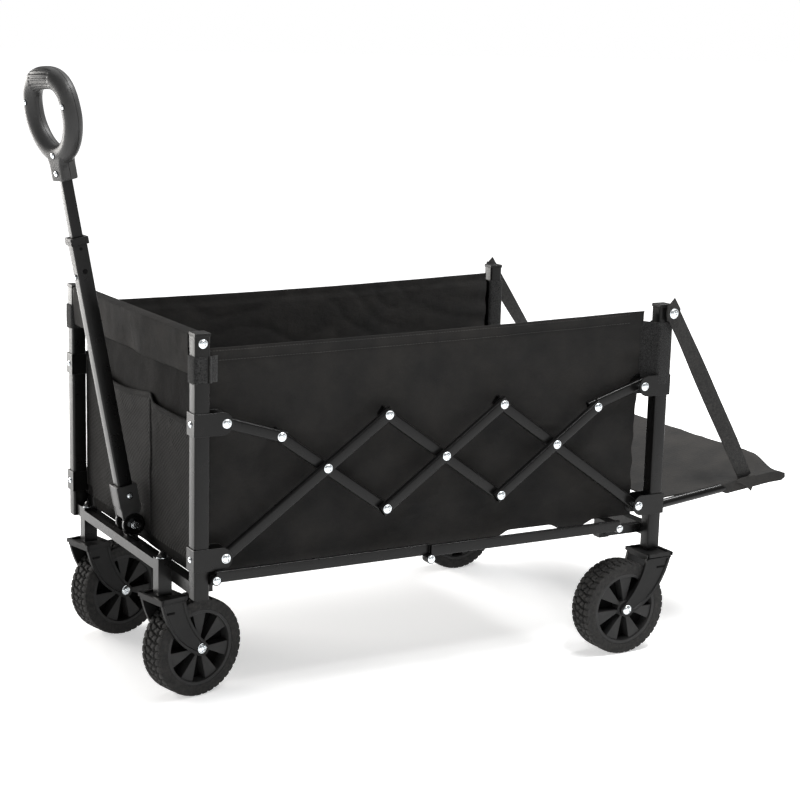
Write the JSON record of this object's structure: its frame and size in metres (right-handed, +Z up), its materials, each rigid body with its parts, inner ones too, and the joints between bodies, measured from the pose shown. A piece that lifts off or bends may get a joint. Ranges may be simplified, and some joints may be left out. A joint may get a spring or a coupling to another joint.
{
  "type": "folding camp wagon",
  "caption": "Four-wheel folding wagon: fabric tub on scissor-link side frames, pull handle with loop grip, swivel front casters and a fold-down tailgate held by two straps.",
  "frame": {"origin": "on the ground under the middle of the opened wagon's outline, with the tailgate down", "axes": "+Z up, +X from the pull handle towards the tailgate, so the wagon's right side is at -Y"},
  "size_m": [1.3185, 0.6264, 1.0021],
  "materials": {
    "powder_coat": "satin",
    "fabric": "matte",
    "webbing": "matte",
    "moulded_plastic": "satin",
    "handle_plastic": "satin",
    "tread_rubber": "matte",
    "zinc": "satin"
  },
  "bodies": {
    "front_frame": {"post_front_right": "powder_coat", "post_front_left": "powder_coat", "bracket_upper_front_right": "powder_coat", "bracket_upper_front_left": "powder_coat", "bracket_lower_front_right": "powder_coat", "bracket_lower_front_left": "powder_coat", "front_top_rail": "powder_coat", "front_chassis": "powder_coat", "handle_pivot_bolt": "zinc", "front_panel": "fabric", "floor_front": "fabric", "floor_rear": "fabric", "side_wall_right": "fabric", "side_wall_left": "fabric"},
    "link_up_1": {"link_up_1_right": "powder_coat", "link_up_1_left": "powder_coat"},
    "link_down_1": {"link_down_1_right": "powder_coat", "link_down_1_left": "powder_coat"},
    "link_down_2": {"link_down_2_right": "powder_coat", "link_down_2_left": "powder_coat"},
    "link_up_2": {"link_up_2_right": "powder_coat", "link_up_2_left": "powder_coat"},
    "link_up_3": {"link_up_3_right": "powder_coat", "link_up_3_left": "powder_coat"},
    "link_down_3": {"link_down_3_right": "powder_coat", "link_down_3_left": "powder_coat"},
    "link_short_front": {"link_short_front_right": "powder_coat", "link_short_front_left": "powder_coat"},
    "link_short_rear": {"link_short_rear_right": "powder_coat", "link_short_rear_left": "powder_coat"},
    "rear_frame": {"post_rear_right": "powder_coat", "post_rear_left": "powder_coat", "rear_chassis": "powder_coat", "fork_rear_right": "moulded_plastic", "fork_rear_left": "moulded_plastic", "strap_right": "webbing", "strap_left": "webbing"},
    "front_rails": {"rail_front_half_right": "powder_coat", "rail_front_half_left": "powder_coat"},
    "rear_rails": {"rail_rear_half_right": "powder_coat", "rail_rear_half_left": "powder_coat"},
    "caster_right": {"fork_front_right": "moulded_plastic"},
    "wheel_front_right": {"tyre_front_right": "tread_rubber", "rim_front_right": "moulded_plastic"},
    "wheel_rear_right": {"tyre_rear_right": "tread_rubber", "rim_rear_right": "moulded_plastic"},
    "caster_left": {"fork_front_left": "moulded_plastic"},
    "wheel_front_left": {"tyre_front_left": "tread_rubber", "rim_front_left": "moulded_plastic"},
    "wheel_rear_left": {"tyre_rear_left": "tread_rubber", "rim_rear_left": "moulded_plastic"},
    "tailgate": {"tailgate_frame": "powder_coat", "tailgate_panel": "fabric"},
    "handle": {"handle_knuckle": "handle_plastic", "handle_outer_tube": "powder_coat", "handle_collar": "handle_plastic"},
    "handle_upper": {"handle_inner_tube": "powder_coat", "handle_grip_front": "handle_plastic", "handle_grip_back": "handle_plastic"},
    "snap_button": {"handle_button": "zinc"}
  },
  "joints": [
    {"name": "fold", "type": "hinge", "parent": "front_frame", "child": "link_up_1", "pos_m": [-0.45137, 0, 0.261], "axis": [0, -1, 0], "range_deg": [0, 42.5], "deforming": ["side_wall_right", "side_wall_left", "floor_front", "floor_rear"]},
    {"name": "link_down_1_pivot", "type": "hinge", "parent": "link_up_1", "child": "link_down_1", "pos_m": [-0.27544, 0, 0.38649], "axis": [0, -1, 0], "range_deg": [-85.05, 0]},
    {"name": "link_down_2_pivot", "type": "hinge", "parent": "link_up_1", "child": "link_down_2", "pos_m": [-0.16684, 0, 0.46396], "axis": [0, -1, 0], "range_deg": [-85.05, 0]},
    {"name": "link_up_2_pivot", "type": "hinge", "parent": "link_down_1", "child": "link_up_2", "pos_m": [-0.16684, 0, 0.30902], "axis": [0, -1, 0], "range_deg": [0, 85.05]},
    {"name": "link_up_3_pivot", "type": "hinge", "parent": "link_down_2", "child": "link_up_3", "pos_m": [0.05037, 0, 0.30902], "axis": [0, -1, 0], "range_deg": [0, 85.05]},
    {"name": "link_down_3_pivot", "type": "hinge", "parent": "link_up_2", "child": "link_down_3", "pos_m": [0.05037, 0, 0.46396], "axis": [0, -1, 0], "range_deg": [-85.05, 0]},
    {"name": "rear_frame_pivot", "type": "hinge", "parent": "link_down_3", "child": "rear_frame", "pos_m": [0.3349, 0, 0.261], "axis": [0, -1, 0], "range_deg": [0, 42.55]},
    {"name": "link_short_front_pivot", "type": "hinge", "parent": "front_frame", "child": "link_short_front", "pos_m": [-0.45137, 0, 0.474], "axis": [0, -1, 0], "range_deg": [0, 93.28]},
    {"name": "link_short_rear_pivot", "type": "hinge", "parent": "rear_frame", "child": "link_short_rear", "pos_m": [0.3349, 0, 0.474], "axis": [0, -1, 0], "range_deg": [-93.28, 0]},
    {"name": "front_rails_pivot", "type": "hinge", "parent": "front_frame", "child": "front_rails", "pos_m": [-0.47037, 0, 0.2298], "axis": [0, -1, 0], "range_deg": [0, 78.47]},
    {"name": "rear_rails_pivot", "type": "hinge", "parent": "rear_frame", "child": "rear_rails", "pos_m": [0.28363, 0, 0.2298], "axis": [0, -1, 0], "range_deg": [-78.47, 0]},
    {"name": "caster_swivel_right", "type": "hinge", "parent": "front_frame", "child": "caster_right", "pos_m": [-0.50897, -0.171, 0.178], "axis": [0, 0, 1], "continuous": true},
    {"name": "wheel_spin_front_right", "type": "hinge", "parent": "caster_right", "child": "wheel_front_right", "pos_m": [-0.45245, -0.15795, 0.082], "axis": [-0.225, 0.9744, 0], "continuous": true},
    {"name": "wheel_spin_rear_right", "type": "hinge", "parent": "rear_frame", "child": "wheel_rear_right", "pos_m": [0.30463, -0.283, 0.082], "axis": [0, 1, 0], "continuous": true},
    {"name": "caster_swivel_left", "type": "hinge", "parent": "front_frame", "child": "caster_left", "pos_m": [-0.50897, 0.171, 0.178], "axis": [0, 0, 1], "continuous": true},
    {"name": "wheel_spin_front_left", "type": "hinge", "parent": "caster_left", "child": "wheel_front_left", "pos_m": [-0.45245, 0.18405, 0.082], "axis": [-0.225, 0.9744, 0], "continuous": true},
    {"name": "wheel_spin_rear_left", "type": "hinge", "parent": "rear_frame", "child": "wheel_rear_left", "pos_m": [0.30463, 0.283, 0.082], "axis": [0, 1, 0], "continuous": true},
    {"name": "tailgate_hinge", "type": "hinge", "parent": "rear_frame", "child": "tailgate", "pos_m": [0.40163, 0, 0.252], "axis": [0, -1, 0], "range_deg": [0, 83.5], "deforming": ["strap_right", "strap_left"]},
    {"name": "handle_tilt", "type": "hinge", "parent": "front_frame", "child": "handle", "pos_m": [-0.49737, 0, 0.252], "axis": [0, -1, 0], "range_deg": [-7.5, 78]},
    {"name": "handle_telescope", "type": "slide", "parent": "handle", "child": "handle_upper", "axis": [-0.1822, 0, 0.9833], "range_m": [-0.085, 0.25]},
    {"name": "handle_button_press", "type": "slide", "parent": "handle", "child": "snap_button", "axis": [0.9833, 0, 0.1822], "range_m": [0, 0.0018], "stiffness_N_per_m": 600, "springref_m": -0.002}
  ],
  "couplings": [
    {"joint": "link_down_1_pivot", "follows": "fold", "ratio": -2},
    {"joint": "link_down_2_pivot", "follows": "fold", "ratio": -2},
    {"joint": "link_up_2_pivot", "follows": "fold", "ratio": 2},
    {"joint": "link_up_3_pivot", "follows": "fold", "ratio": 2},
    {"joint": "link_down_3_pivot", "follows": "fold", "ratio": -2},
    {"joint": "rear_frame_pivot", "follows": "fold", "ratio": 1},
    {"joint": "link_short_front_pivot", "follows": "fold", "ratio": 2.1936},
    {"joint": "link_short_rear_pivot", "follows": "fold", "ratio": -2.1936},
    {"joint": "front_rails_pivot", "follows": "fold", "ratio": 1.8453},
    {"joint": "rear_rails_pivot", "follows": "fold", "ratio": -1.8453}
  ]
}
